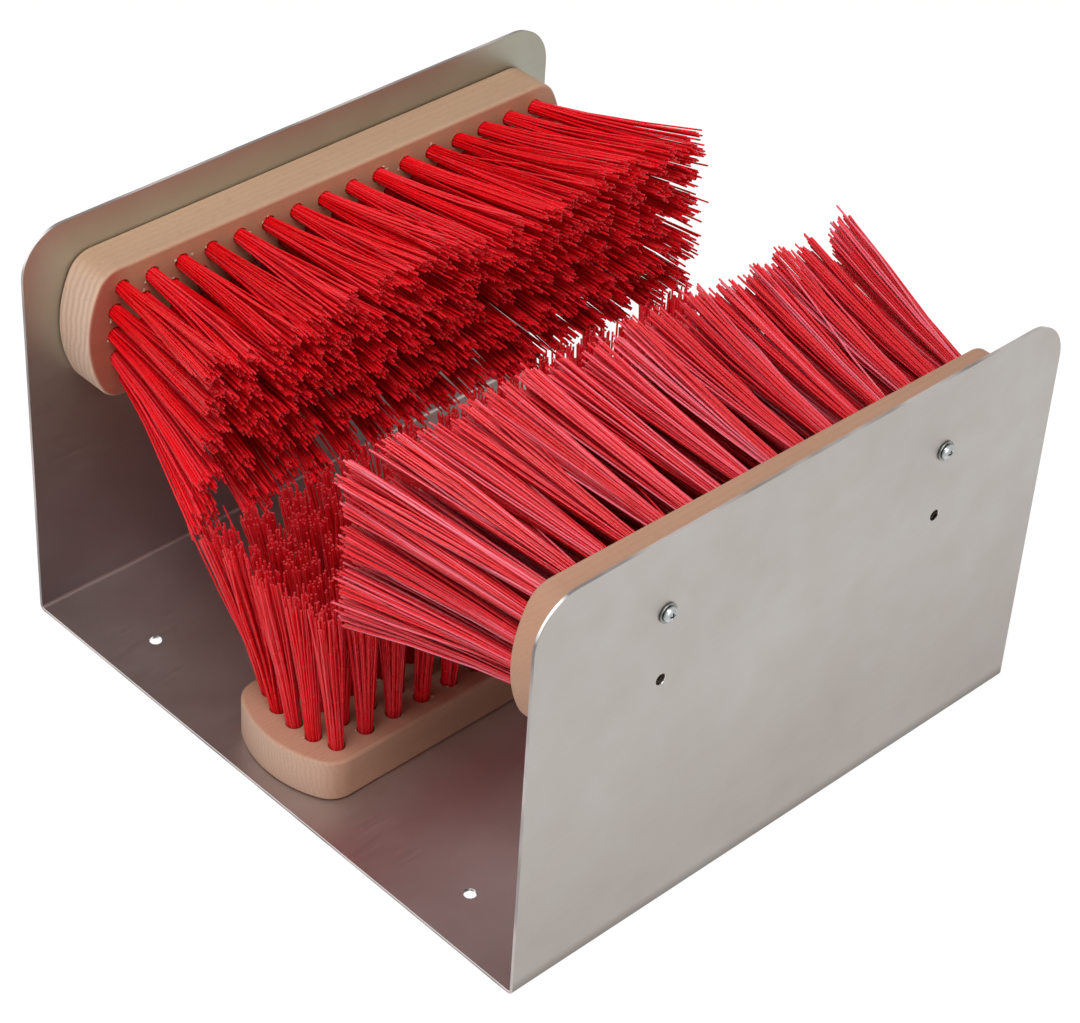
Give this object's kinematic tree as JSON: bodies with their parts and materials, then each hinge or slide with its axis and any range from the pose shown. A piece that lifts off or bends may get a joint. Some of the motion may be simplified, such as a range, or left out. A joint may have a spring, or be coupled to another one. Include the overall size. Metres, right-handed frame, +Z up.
{
  "type": "boot scraper",
  "caption": "Boot scraper: bent stainless sheet channel with wooden brushes on both side plates and on the base, their stiff red bristles facing the boot.",
  "frame": {"origin": "on the floor, under the middle of the channel's base", "axes": "+X across the channel to the right-hand plate, +Y along it to the rear, +Z up"},
  "size_m": [0.3186, 0.3, 0.198],
  "materials": {
    "stainless_sheet": "satin cold rolled stainless steel with bright cut edges",
    "beech": "plain sanded beech, unvarnished",
    "bristles": "stiff red plastic filament with a soft sheen",
    "zinc": "bright zinc plated steel"
  },
  "bodies": {
    "root": {"channel": "stainless_sheet", "left_brush_block": "beech", "left_bristles": "bristles", "left_washer_front": "zinc", "left_screw_front": "zinc", "left_washer_rear": "zinc", "left_screw_rear": "zinc", "right_brush_block": "beech", "right_bristles": "bristles", "right_washer_front": "zinc", "right_screw_front": "zinc", "right_washer_rear": "zinc", "right_screw_rear": "zinc", "bottom_brush_block": "beech", "bottom_bristles": "bristles", "base_screw_front": "zinc", "base_screw_rear": "zinc"}
  },
  "joints": []
}
